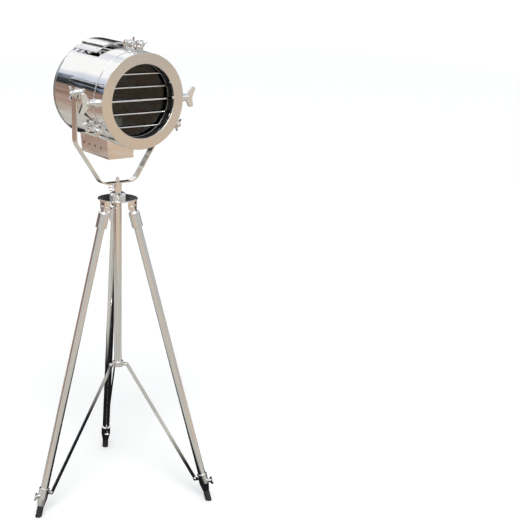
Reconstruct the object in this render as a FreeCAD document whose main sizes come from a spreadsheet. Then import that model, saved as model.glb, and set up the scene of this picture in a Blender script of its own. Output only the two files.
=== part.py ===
import FreeCAD, Part
import math
import os
import Sketcher

# A tripod floor lamp with a searchlight head.
# World frame: +Z up, the head faces -Y, the origin lies on the floor under the middle of the lamp's plan.
# Head frame: X sideways, Y up, Z forward, with the drum's axis as its Z axis.
# Leg frame: origin at the hinge bolt, -Z down the leg, +X outwards.

V = FreeCAD.Vector
X_AXIS = V(1, 0, 0)
Y_AXIS = V(0, 1, 0)
Z_AXIS = V(0, 0, 1)

# Driving sizes in millimetres and degrees: name, value, what it sets.
SIZES = [
    ("slip", 0.3, "gap between pieces that pass each other"),
    ("running", 0.08, "radial clearance of a shaft that turns or slides in its bore"),
    ("cutter_over", 20, "how far a cutting shape runs past what it cuts"),
    # hub
    ("hub_top_height", 1026, "height of the hub plate's top above the floor"),
    ("plate_radius", 65, "hub plate"),
    ("plate_thick", 4, "hub plate"),
    ("plate_edge", 1.2, "rounding of the hub plate's edge"),
    ("collar_radius", 27.5, "hub collar's foot"),
    ("collar_top_radius", 20.8, "hub collar's top"),
    ("collar_height", 18, "hub collar"),
    ("collar_shoulder", 11, "height where the hub collar starts to narrow"),
    ("groove_depth", 1.4, "turned grooves of the hub collar"),
    ("groove_width", 1.3, "turned grooves of the hub collar"),
    ("groove_first", 2.6, "height of the lower groove"),
    ("groove_pitch", 3.9, "step between the grooves"),
    # leg hinges
    ("leg_azimuth", 65, "direction of the first leg in the plan"),
    ("leg_pivot_radius", 51, "distance of the leg hinges from the column's axis"),
    ("leg_pivot_drop", 23, "leg hinges below the hub plate's underside"),
    ("foot_spread", 330, "distance of each foot from the column's axis"),
    ("clevis_gap", 13, "slot between a clevis's ears"),
    ("clevis_ear", 5.5, "thickness of an ear"),
    ("clevis_radius", 11, "half width of a clevis"),
    ("clevis_bridge", 5, "web of a clevis under the plate"),
    ("hinge_bolt_radius", 3.5, "leg hinge bolts"),
    ("bolt_head_radius", 6.5, "domed heads of the leg hinge bolts"),
    ("bolt_head_height", 4, "domed heads of the leg hinge bolts"),
    # legs
    ("tongue_radius", 10, "half width of a leg's tongue"),
    ("socket_radius", 18, "leg socket"),
    ("socket_top", 15, "top of the socket below the hinge bolt"),
    ("socket_length", 52, "leg socket"),
    ("socket_shoulder", 5, "chamfer on the socket's top"),
    ("leg_radius", 12.7, "leg tube"),
    ("leg_wall", 1.2, "leg tube"),
    ("foot_reach", 75.2, "leg tube's lower end to the floor, along the leg"),
    ("clamp_radius", 16, "clamp collar"),
    ("clamp_grip", 22, "length of the clamp collar on the leg tube"),
    ("clamp_straight", 12, "straight part of the clamp collar below the tube"),
    ("clamp_tail", 38, "length of the clamp collar below the leg tube"),
    ("clamp_tail_radius", 11.5, "clamp collar's lower end"),
    ("clamp_lip", 1.6, "raised rim on the clamp collar's top"),
    ("inner_leg_radius", 8, "inner leg tube"),
    ("inner_leg_wall", 1.2, "inner leg tube"),
    ("leg_extension", 250, "travel of the inner leg"),
    ("inner_leg_grip", 90, "inner leg kept inside when drawn out"),
    ("leg_screw_radius", 3, "shank of a leg's wing screw"),
    ("leg_screw_hub", 6, "hub of a leg's wing screw"),
    ("leg_screw_hub_length", 9, "hub of a leg's wing screw"),
    ("leg_screw_span", 14, "half span of a leg's wing screw"),
    ("leg_screw_rise", 6, "how far its wings stand outward"),
    ("leg_boss_radius", 6, "boss for the wing screw"),
    ("leg_boss_length", 5, "boss beyond the clamp collar"),
    ("foot_radius", 10.5, "rubber foot"),
    ("foot_wall_top", 2.2, "rubber foot's wall at its mouth"),
    ("foot_cup", 12, "depth of the rubber foot's cup"),
    # braces
    ("brace_width", 12, "flat brace"),
    ("brace_thick", 3, "flat brace"),
    ("brace_pin_radius", 2.5, "brace pins"),
    ("brace_hub_radius", 30, "upper brace pins from the column's axis"),
    ("lug_thick", 5, "brace lugs"),
    ("lug_radius", 5.5, "rounded end of a brace lug"),
    ("lug_reach", 30, "lower brace pin inwards of the leg's axis"),
    ("rivet_head_radius", 4.6, "brace rivets"),
    ("rivet_head_height", 2.4, "brace rivets"),
    # column
    ("column_radius", 12.5, "centre column"),
    ("column_wall", 1.5, "centre column"),
    ("column_bottom_height", 446, "lower end of the column above the floor"),
    ("neck_height", 28, "column above the hub collar"),
    ("foot_collar_radius", 18, "collar at the column's lower end"),
    ("foot_collar_height", 18, "collar at the column's lower end"),
    ("foot_collar_edge", 1.5, "rounding of that collar"),
    ("neck_knob_azimuth", 150, "direction of the neck's thumb screw in the plan"),
    ("neck_knob_drop", 13, "thumb screw below the column's top"),
    ("neck_knob_radius", 11, "thumb screw's knob"),
    ("neck_knob_length", 14, "thumb screw's knob"),
    ("neck_knob_edge", 2.5, "rounding of the knob"),
    ("neck_screw_radius", 3, "thumb screw's shank"),
    ("neck_knob_standoff", 1.5, "knob outside the column's wall"),
    # yoke
    ("arm_clearance", 6, "gap between the drum and a yoke arm"),
    ("strap_width", 25, "yoke strap"),
    ("strap_thick", 4, "yoke strap"),
    ("arm_drop", 154, "upper bend below the tilt axis"),
    ("yoke_depth", 296, "crossbar's middle plane below the tilt axis"),
    ("crossbar_half", 62, "half length of the crossbar between its bends"),
    ("bend_radius", 40, "inside radius of the yoke's bends"),
    ("spigot_flange", 2, "washer under the crossbar"),
    ("spigot_length", 60, "spigot inside the column"),
    ("spigot_groove", 1.5, "depth of the spigot's groove for the thumb screw"),
    ("spigot_groove_side", 2, "groove beyond the thumb screw on each side"),
    ("yoke_stud_radius", 4, "stud through the crossbar"),
    ("acorn_radius", 6.5, "acorn nut"),
    ("acorn_hex_height", 7, "hexagon of the acorn nut"),
    ("acorn_height", 16, "acorn nut"),
    # tilt pivots
    ("axis_drop", 13, "drum's axis below the tilt axis"),
    ("rest_tilt", 2.2, "angle by which the head's front is tipped down as it stands"),
    ("pivot_stud_radius", 4, "tilt studs"),
    ("pivot_boss_radius", 12, "bosses on the drum"),
    ("pivot_pad_thick", 3.5, "pads under the bosses"),
    ("pivot_pad_half", 15, "half height of a pad"),
    ("pivot_pad_rear", 16, "pad behind the tilt axis"),
    ("pivot_pad_front", 28, "pad ahead of the tilt axis"),
    ("pivot_pad_corner", 8, "rounded corners of a pad"),
    ("pivot_stud_out", 16, "tilt stud beyond the yoke arm"),
    ("pivot_nut_radius", 6.5, "hub of a tilt wing nut"),
    ("pivot_nut_height", 13, "hub of a tilt wing nut"),
    ("pivot_nut_span", 22, "half span of a tilt wing nut"),
    ("pivot_nut_rise", 10, "how far its wings stand forward"),
    ("wing_thick", 3, "wings of the nuts and screws"),
    ("wing_root", 6, "height of a wing beside its hub"),
    ("wing_tip", 8, "height of a wing at its tip"),
    # drum
    ("drum_radius", 150, "drum, door and front ring"),
    ("sheet", 1.5, "sheet metal of the drum, door and box"),
    ("rear_reach", 138, "drum's rear rim behind the tilt axis"),
    ("seam_reach", 101, "seam between drum and door ahead of the tilt axis"),
    ("front_reach", 146, "front ring's face ahead of the tilt axis"),
    ("seam_gap", 1.2, "open seam"),
    ("bead_height", 1.8, "rolled beads of the drum"),
    ("bead_width", 6, "rolled beads of the drum"),
    ("bead_edge", 1.4, "rounding of the beads"),
    ("rear_dome", 10, "dome of the rear cap"),
    ("rear_dome_margin", 54, "rim to the flat middle of the rear dome"),
    ("rear_flat_margin", 18, "rim to the start of the rear dome"),
    ("rear_dome_crown", 60, "rounding of the dome's middle"),
    ("rear_dome_root", 20, "rounding where the dome starts"),
    ("door_lip", 7, "locating lip of the door on both sides of the seam"),
    ("ring_width", 35.2, "front ring from its opening to its edge"),
    ("ring_thick", 3, "front ring"),
    ("ring_lip", 10, "inner lip of the front ring"),
    ("ring_edge", 1.3, "rounding of the front ring's edges"),
    ("lens_reach", 110, "rear face of the glass ahead of the tilt axis"),
    ("lens_thick", 3, "glass"),
    ("lens_edge_gap", 2, "gap round the glass"),
    ("retainer_width", 36, "lens retaining rings from the drum's outside to their opening"),
    ("retainer_thick", 1.5, "lens retaining rings"),
    ("rod_reach", 119.5, "grille rods and centre axle ahead of the tilt axis"),
    ("rod_radius", 2.4, "grille rods"),
    ("rod_pitch", 40.7, "step between the grille rods"),
    # centre axle and fishtail handles
    ("axle_radius", 3.5, "centre axle"),
    ("axle_boss_radius", 12, "axle bosses"),
    ("axle_boss_length", 27, "axle bosses beyond the drum"),
    ("handle_hub_radius", 8.5, "fishtail handle's hub"),
    ("handle_hub_length", 13, "fishtail handle's hub"),
    ("handle_span", 34, "half span of a fishtail"),
    ("handle_length", 34.5, "fishtail handle beyond its boss"),
    ("handle_thick", 8, "fishtail handle"),
    ("handle_tip_width", 13, "width of a fishtail's tips"),
    ("handle_valley", 26, "bottom of the fishtail's notch beyond its boss"),
    ("handle_turn", 9, "angle by which the fishtails' tops are turned forward as they stand"),
    ("axle_screw_radius", 3, "small screw in the middle of the axle"),
    ("axle_screw_height", 6, "small screw in the middle of the axle"),
    # door clamps
    ("clamp_first_azimuth", 90, "first door clamp round the drum"),
    ("clamp_pin_height", 21, "clamp pins and swing bolts above the drum"),
    ("clamp_pin_reach", 56, "clamp pins ahead of the tilt axis"),
    ("clamp_pin_radius", 2.5, "clamp pins"),
    ("clamp_pin_head", 4.6, "heads of the clamp pins"),
    ("clamp_pin_head_height", 1.6, "heads of the clamp pins"),
    ("bracket_width", 28, "hinge bracket"),
    ("bracket_slot", 9.2, "slot of the hinge bracket"),
    ("bracket_half", 7.5, "half length of the bracket's ears"),
    ("bracket_foot_half", 13, "half length of the bracket's foot"),
    ("bracket_foot", 4, "height of the bracket's foot"),
    ("swing_bolt_radius", 3.5, "swing bolt"),
    ("swing_bolt_length", 84, "swing bolt from its pin to its tip"),
    ("swing_eye_radius", 7, "eye of the swing bolt"),
    ("jam_wing_reach", 27, "jam wing on the swing bolt from its pin"),
    ("jam_wing_span", 19, "half span of the jam wing"),
    ("jam_wing_width", 8, "jam wing"),
    ("jam_hub_radius", 6.5, "hub of the jam wing"),
    ("lug_reach_front", 112, "rear face of the door's lug ahead of the tilt axis"),
    ("door_lug_thick", 6, "door lug"),
    ("door_lug_half", 12.5, "half width of a door lug"),
    ("door_lug_height", 33, "door lug above the drum"),
    ("clamp_nut_gap", 1.6, "a clamp nut backed off from its lug, so that the bolt swings out with it"),
    ("clamp_nut_radius", 7.5, "hub of a clamp wing nut"),
    ("clamp_nut_height", 13, "hub of a clamp wing nut"),
    ("clamp_nut_span", 20.5, "half span of a clamp wing nut"),
    ("clamp_nut_rise", 8, "how far its wings stand forward"),
    ("clamp_nut_turn_1", 20, "angle of the first clamp's wing nut as it stands"),
    ("clamp_nut_turn_2", -39, "angle of the second clamp's wing nut as it stands"),
    ("clamp_nut_turn_3", 8, "angle of the third clamp's wing nut as it stands"),
    # vent cap
    ("vent_gap", 8, "vent cap above the drum"),
    ("vent_thick", 1.6, "vent cap"),
    ("vent_angle", 64, "vent cap's spread round the drum"),
    ("vent_rear", 127, "vent cap's rear edge behind the tilt axis"),
    ("vent_length", 130, "vent cap"),
    ("vent_crown_angle", 40, "raised crown's spread round the drum"),
    ("vent_crown_rise", 5, "crown above the vent cap's edges"),
    ("vent_slot_angle", 8, "vent slots from the drum's top"),
    ("vent_slot_width", 6, "vent slots"),
    ("vent_margin", 14, "vent slots from the cap's ends"),
    ("vent_screw_angle", 24, "cap screws from the drum's top"),
    ("vent_screw_margin", 20, "cap screws from the cap's ends"),
    ("screw_radius", 2, "small screws"),
    ("screw_head_radius", 4, "small screws' heads"),
    ("screw_head_height", 2.6, "small screws' heads"),
    ("spacer_radius", 3.4, "spacers under the vent cap"),
    # box under the drum
    ("box_rear", 132, "box's rear face behind the tilt axis"),
    ("box_front", 27, "box's front face ahead of the tilt axis"),
    ("box_top_half", 58, "box's half width at its top"),
    ("box_sink", 38, "how far the box's sides run up past the drum's lowest line"),
    ("box_bottom_half", 45.5, "box's half width at its bottom"),
    ("box_depth", 50, "box's bottom below the drum's lowest line"),
    ("box_hole_radius", 4, "vent holes of the box"),
    ("box_hole_below", 20, "vent holes below the drum's lowest line"),
    ("box_hole_rear", 115, "first vent hole behind the tilt axis"),
    ("box_hole_pitch", 33.5, "step between the vent holes"),
    ("lid_lip", 5, "height of the lid's lip"),
    ("lid_thick", 1.5, "lid"),
    ("gland_radius", 8, "cable gland's thread"),
    ("gland_bore", 4, "cable gland's bore"),
    ("gland_nut_radius", 11, "cable gland's nut"),
    ("gland_below", 16, "cable gland below the drum's lowest line"),
    ("gland_out", 20, "cable gland beyond the box"),
    # lamp
    ("throat_half", 24, "half width of the opening between drum and box"),
    ("throat_length", 60, "that opening along the drum"),
    ("bracket_above", 18, "holder bracket above the drum's lowest line"),
    ("bracket_strip", 26, "holder bracket's width"),
    ("bracket_sheet", 2, "holder bracket"),
    ("lamp_rear", 8, "lamp's upright axis behind the tilt axis"),
    ("holder_radius", 20, "lamp holder"),
    ("holder_height", 58, "lamp holder"),
    ("holder_bore", 13.6, "lamp holder's mouth"),
    ("holder_depth", 26, "lamp holder's mouth"),
    ("bulb_radius", 30, "bulb"),
    ("bulb_height", 105, "bulb with its cap"),
    ("bulb_cap_radius", 13.2, "bulb's cap"),
]

doc = FreeCAD.newDocument("TripodSpotlight")
sheet = doc.addObject("Spreadsheet::Sheet", "Sizes")
for row, (alias, number, meaning) in enumerate(SIZES, start=1):
    sheet.set(f"A{row}", meaning)
    sheet.set(f"B{row}", str(number))
    sheet.setAlias(f"B{row}", alias)
doc.recompute()


class Size:
    """A number together with the sheet expression that gives it."""

    def __init__(self, value, text):
        self.value = float(value)
        self.text = text

    def __add__(self, other):
        other = as_size(other)
        return Size(self.value + other.value, f"({self.text} + {other.text})")

    def __sub__(self, other):
        other = as_size(other)
        return Size(self.value - other.value, f"({self.text} - {other.text})")

    def __mul__(self, other):
        other = as_size(other)
        return Size(self.value * other.value, f"({self.text} * {other.text})")

    def __truediv__(self, other):
        other = as_size(other)
        return Size(self.value / other.value, f"({self.text} / {other.text})")

    def __neg__(self):
        return Size(-self.value, f"(-{self.text})")

    def __radd__(self, other):
        return as_size(other) + self

    def __rsub__(self, other):
        return as_size(other) - self

    def __rmul__(self, other):
        return as_size(other) * self


def as_size(value):
    """Turns a bare number into a Size."""
    if isinstance(value, Size):
        return value
    return Size(value, repr(float(value)))


def root(value):
    """Square root of a Size."""
    return Size(math.sqrt(value.value), f"sqrt({value.text})")


class SizeTable:
    """The sheet's sizes by name."""


size = SizeTable()
for alias, number, meaning in SIZES:
    setattr(size, alias, Size(sheet.get(alias), f"Sizes.{alias}"))


# ---------------------------------------------------------------- building blocks

nodes = []


def at(x=0, y=0, z=0):
    """A placement that only shifts."""
    return FreeCAD.Placement(V(*[as_size(n).value for n in (x, y, z)]), FreeCAD.Rotation())


def turn(axis, degrees):
    """A placement that only turns about an axis through the origin."""
    return FreeCAD.Placement(V(0, 0, 0), FreeCAD.Rotation(axis, as_size(degrees).value))


def bind(item, **properties):
    """Binds an object's sizes to the sheet."""
    for name, value in properties.items():
        item.setExpression(name, as_size(value).text)
    return item


def node(item, name, place):
    """Names a sub-part, puts it in place and marks it for export."""
    item.Label = name
    item.Placement = place
    nodes.append(item)
    return item


def new_body(name):
    return doc.addObject("PartDesign::Body", name)


def origin_plane(body, role):
    return [feature for feature in body.Origin.OriginFeatures if feature.Role == role][0]


def new_sketch(body, role):
    sketch = body.newObject("Sketcher::SketchObject", "Outline")
    sketch.AttachmentSupport = (origin_plane(body, role), [""])
    sketch.MapMode = "FlatFace"
    return sketch


def fix(sketch, kind, geometry, end, value):
    """Ties a sketch point's coordinate to a size."""
    value = as_size(value)
    index = sketch.addConstraint(Sketcher.Constraint(kind, -1, 1, geometry, end, value.value))
    sketch.setExpression(f"Constraints[{index}]", value.text)


def fix_point(sketch, geometry, end, x, y):
    fix(sketch, "DistanceX", geometry, end, x)
    fix(sketch, "DistanceY", geometry, end, y)


def fix_radius(sketch, geometry, radius):
    index = sketch.addConstraint(Sketcher.Constraint("Radius", geometry, radius.value))
    sketch.setExpression(f"Constraints[{index}]", radius.text)


def draw_outline(sketch, corners):
    """Draws a closed outline through corners at sheet sizes; a third number rounds a corner."""
    corners = [[as_size(number) for number in corner] for corner in corners]
    count = len(corners)
    spots = [V(corner[0].value, corner[1].value, 0) for corner in corners]
    arrive = []
    leave = []
    arcs = []
    for i, corner in enumerate(corners):
        here = spots[i]
        back = (spots[i - 1] - here).normalize()
        onward = (spots[(i + 1) % count] - here).normalize()
        arc = None
        first = last = here
        if len(corner) > 2:
            half = back.getAngle(onward) / 2
            reach = corner[2].value / math.tan(half)
            first = here + back * reach
            last = here + onward * reach
            centre = here + (back + onward).normalize() * (corner[2].value / math.sin(half))
            middle = centre + (here - centre).normalize() * corner[2].value
            arc = Part.Arc(first, middle, last)
        arrive.append(first)
        leave.append(last)
        arcs.append(arc)
    lines = []
    for i in range(count):
        line = Part.LineSegment(leave[i], arrive[(i + 1) % count])
        lines.append(sketch.addGeometry(line, False))
    for i, corner in enumerate(corners):
        before = lines[i - 1]
        after = lines[i]
        if arcs[i] is None:
            sketch.addConstraint(Sketcher.Constraint("Coincident", before, 2, after, 1))
            fix_point(sketch, after, 1, corner[0], corner[1])
            continue
        arc = sketch.addGeometry(arcs[i], False)
        tip = sketch.addGeometry(Part.Point(spots[i]), True)
        start = 1 if (sketch.getPoint(arc, 1) - arrive[i]).Length < 1e-6 else 2
        sketch.addConstraint(Sketcher.Constraint("Tangent", before, 2, arc, start))
        sketch.addConstraint(Sketcher.Constraint("Tangent", arc, 3 - start, after, 1))
        sketch.addConstraint(Sketcher.Constraint("PointOnObject", tip, 1, before))
        sketch.addConstraint(Sketcher.Constraint("PointOnObject", tip, 1, after))
        fix_point(sketch, tip, 1, corner[0], corner[1])
        fix_radius(sketch, arc, corner[2])


def draw_circle(sketch, x, y, radius):
    """Draws a circle at sheet sizes."""
    x, y, radius = as_size(x), as_size(y), as_size(radius)
    circle = sketch.addGeometry(Part.Circle(V(x.value, y.value, 0), Z_AXIS, radius.value), False)
    fix_point(sketch, circle, 3, x, y)
    fix_radius(sketch, circle, radius)


def lathe(name, corners):
    """A turned piece: the outline's first number is a radius, its second a height on Z."""
    body = new_body(name)
    sketch = new_sketch(body, "XZ_Plane")
    draw_outline(sketch, corners)
    revolution = body.newObject("PartDesign::Revolution", "Turning")
    revolution.Profile = sketch
    revolution.ReferenceAxis = (sketch, ["V_Axis"])
    revolution.Angle = 360
    return body


def slab(name, role, corners, thickness, holes=()):
    """A flat piece cut to an outline, with its middle plane on one of the origin planes."""
    body = new_body(name)
    sketch = new_sketch(body, role)
    draw_outline(sketch, corners)
    for x, y, radius in holes:
        draw_circle(sketch, x, y, radius)
    pad = body.newObject("PartDesign::Pad", "Plate")
    pad.Profile = sketch
    pad.SideType = "Symmetric"
    bind(pad, Length=thickness)
    return body


def cylinder(radius, height, place=at()):
    """A plain cylinder that starts at its placement and runs along Z."""
    item = doc.addObject("Part::Cylinder", "Cylinder")
    bind(item, Radius=radius, Height=height)
    item.Placement = place
    return item


def long_cylinder(radius, half, axis_turn, place=at()):
    """A cylinder that reaches the same way to both sides of its placement."""
    return cylinder(radius, 2 * half, place * axis_turn * at(0, 0, -half))


def block(length, width, height, place=at()):
    """A box with its middle at the placement in X and Y, and its bottom there in Z."""
    item = doc.addObject("Part::Box", "Block")
    bind(item, Length=length, Width=width, Height=height)
    item.Placement = place * at(-as_size(length) / 2, -as_size(width) / 2, 0)
    return item


def group(items, name="Group"):
    compound = doc.addObject("Part::Compound", name)
    compound.Links = items
    return compound


def copy_at(item, place):
    link = doc.addObject("App::Link", "Copy")
    link.LinkedObject = item
    link.Placement = place
    return link


def fuse(*items):
    union = doc.addObject("Part::MultiFuse", "Union")
    union.Shapes = list(items)
    return union


def cut(base, *tools):
    difference = doc.addObject("Part::Cut", "Cut")
    difference.Base = base
    difference.Tool = tools[0] if len(tools) == 1 else fuse(*tools)
    return difference


TO_X = turn(Y_AXIS, 90)
TO_Y = turn(X_AXIS, -90)


def wings(name, span, rise, hub_radius):
    """A pair of wings in the XZ plane that leave a hub on the Z axis and lean forward."""
    inner = hub_radius / 2
    right = [
        (inner, 1),
        (hub_radius + 1, 1, 2),
        (span, rise, 2.4),
        (span - 2, rise + size.wing_tip, 2.6),
        (inner, 1 + size.wing_root),
    ]
    left = [(-corner[0],) + corner[1:] for corner in reversed(right)]
    return slab(name, "XZ_Plane", right + left, size.wing_thick)


def wing_nut(bore, hub_radius, height, span, rise):
    """A wing nut on the Z axis, standing on the XY plane."""
    hub = lathe(
        "NutHub",
        [
            (0, 0),
            (hub_radius + 1, 0, 0.6),
            (hub_radius, height, 1.2),
            (0, height),
        ],
    )
    through = cylinder(bore, height + size.cutter_over, at(0, 0, -size.cutter_over / 2))
    return cut(fuse(hub, wings("NutWings", span, rise, hub_radius)), through)


# ---------------------------------------------------------------- sizes that follow from the driving ones

column_top = size.hub_top_height + size.collar_height + size.neck_height
crossbar_height = column_top + size.slip + size.spigot_flange + size.strap_thick / 2
tilt_height = crossbar_height + size.yoke_depth
leg_pivot_height = size.hub_top_height - size.plate_thick - size.leg_pivot_drop
leg_run = size.foot_spread - size.leg_pivot_radius
leg_length = root(leg_run * leg_run + leg_pivot_height * leg_pivot_height)
lean = math.degrees(math.atan2(leg_run.value, leg_pivot_height.value))
leg_tube_end = leg_length - size.foot_reach
brace_station = leg_tube_end - size.lug_radius
brace_top_height = size.column_bottom_height + size.foot_collar_height / 2
brace_offset = size.lug_thick / 2 + size.slip + size.brace_thick / 2
arm_inside = size.drum_radius + size.arm_clearance
arm_outside = arm_inside + size.strap_thick
leg_azimuths = [size.leg_azimuth.value + 120 * i for i in range(3)]
drum_inside = size.drum_radius - size.sheet
ring_inside = size.drum_radius - size.ring_width
retainer_inside = size.drum_radius - size.retainer_width
rear_flat_radius = size.drum_radius - size.rear_flat_margin
rear_dome_radius = size.drum_radius - size.rear_dome_margin
bracket_drop = size.drum_radius - size.bracket_above
box_top_drop = size.drum_radius - size.box_sink
box_drop = size.drum_radius + size.box_depth
box_hole_drop = size.drum_radius + size.box_hole_below
gland_drop = size.drum_radius + size.gland_below
clamp_azimuths = [size.clamp_first_azimuth.value + 120 * i for i in range(3)]
clamp_axis_radius = size.drum_radius + size.clamp_pin_height

DRUM = at(0, 0, tilt_height) * turn(X_AXIS, size.rest_tilt) * at(0, 0, -size.axis_drop) * turn(X_AXIS, 90)
TILT = at(0, 0, tilt_height) * turn(X_AXIS, 90)


def leg_frame(azimuth):
    place = at(size.leg_pivot_radius, 0, leg_pivot_height) * turn(Y_AXIS, -lean)
    return turn(Z_AXIS, azimuth) * place


def clamp_frame(azimuth):
    """Door clamp frame inside the head frame: X round the drum, Y outwards, Z forward."""
    return turn(Z_AXIS, azimuth - 90)


def drum_solid():
    """The drum's outer cylinder, which cuts the feet of what is fixed on it."""
    reach = size.rear_reach + size.front_reach + 2 * size.cutter_over
    return cylinder(size.drum_radius, reach, at(0, 0, -(size.rear_reach + size.cutter_over)))


# ---------------------------------------------------------------- hub

def build_hub():
    shaft_bore = size.column_radius + size.running
    under = size.hub_top_height - size.plate_thick
    plate = lathe(
        "HubPlate",
        [
            (shaft_bore, 0),
            (size.plate_radius, 0, size.plate_edge),
            (size.plate_radius, size.plate_thick, size.plate_edge),
            (shaft_bore, size.plate_thick),
        ],
    )
    node(plate, "hub_plate", at(0, 0, under))

    outline = [(shaft_bore, 0), (size.collar_radius, 0)]
    for i in range(2):
        low = size.groove_first + i * size.groove_pitch
        high = low + size.groove_width
        outline.append((size.collar_radius, low))
        outline.append((size.collar_radius - size.groove_depth, low))
        outline.append((size.collar_radius - size.groove_depth, high))
        outline.append((size.collar_radius, high))
    outline.append((size.collar_radius, size.collar_shoulder, 1.5))
    outline.append((size.collar_top_radius, size.collar_height, 1))
    outline.append((shaft_bore, size.collar_height))
    node(lathe("HubCollar", outline), "hub_collar", at(0, 0, size.hub_top_height))

    ear = size.clevis_radius
    clevis_width = size.clevis_gap + 2 * size.clevis_ear
    cheek = slab(
        "Clevis",
        "XZ_Plane",
        [
            (-ear, size.leg_pivot_drop, 1),
            (-ear, -ear, ear - 0.2),
            (ear, -ear, ear - 0.2),
            (ear, size.leg_pivot_drop, 1),
        ],
        clevis_width,
        [(0, 0, size.hinge_bolt_radius)],
    )
    slot_height = ear + size.leg_pivot_drop - size.clevis_bridge + size.cutter_over
    slot_low = -(ear + size.cutter_over)
    slot = block(2 * ear + size.cutter_over, size.clevis_gap, slot_height, at(0, 0, slot_low))
    clevis = cut(cheek, slot)

    shank_half = clevis_width / 2
    bolt = lathe(
        "HingeBolt",
        [
            (0, -(shank_half + size.bolt_head_height)),
            (size.bolt_head_radius, -(shank_half + size.bolt_head_height), size.bolt_head_height * 0.8),
            (size.bolt_head_radius, -shank_half),
            (size.hinge_bolt_radius, -shank_half),
            (size.hinge_bolt_radius, shank_half),
            (size.bolt_head_radius - 1, shank_half),
            (size.bolt_head_radius - 1, shank_half + size.bolt_head_height, 0.8),
            (0, shank_half + size.bolt_head_height),
        ],
    )
    clevises = []
    bolts = []
    for azimuth in leg_azimuths:
        hinge = turn(Z_AXIS, azimuth) * at(size.leg_pivot_radius, 0, leg_pivot_height)
        clevises.append(copy_at(clevis, hinge))
        bolts.append(copy_at(bolt, hinge * TO_Y))
    node(group(clevises), "hub_clevises", at())
    node(group(bolts), "leg_hinge_bolts", at())


# ---------------------------------------------------------------- legs

def rounded_bar(top, bottom, half_width):
    """Corners of an upright bar with round ends, from its top to its bottom."""
    bend = half_width - 0.1
    return [
        (-half_width, bottom, bend),
        (half_width, bottom, bend),
        (half_width, top, bend),
        (-half_width, top, bend),
    ]


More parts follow.
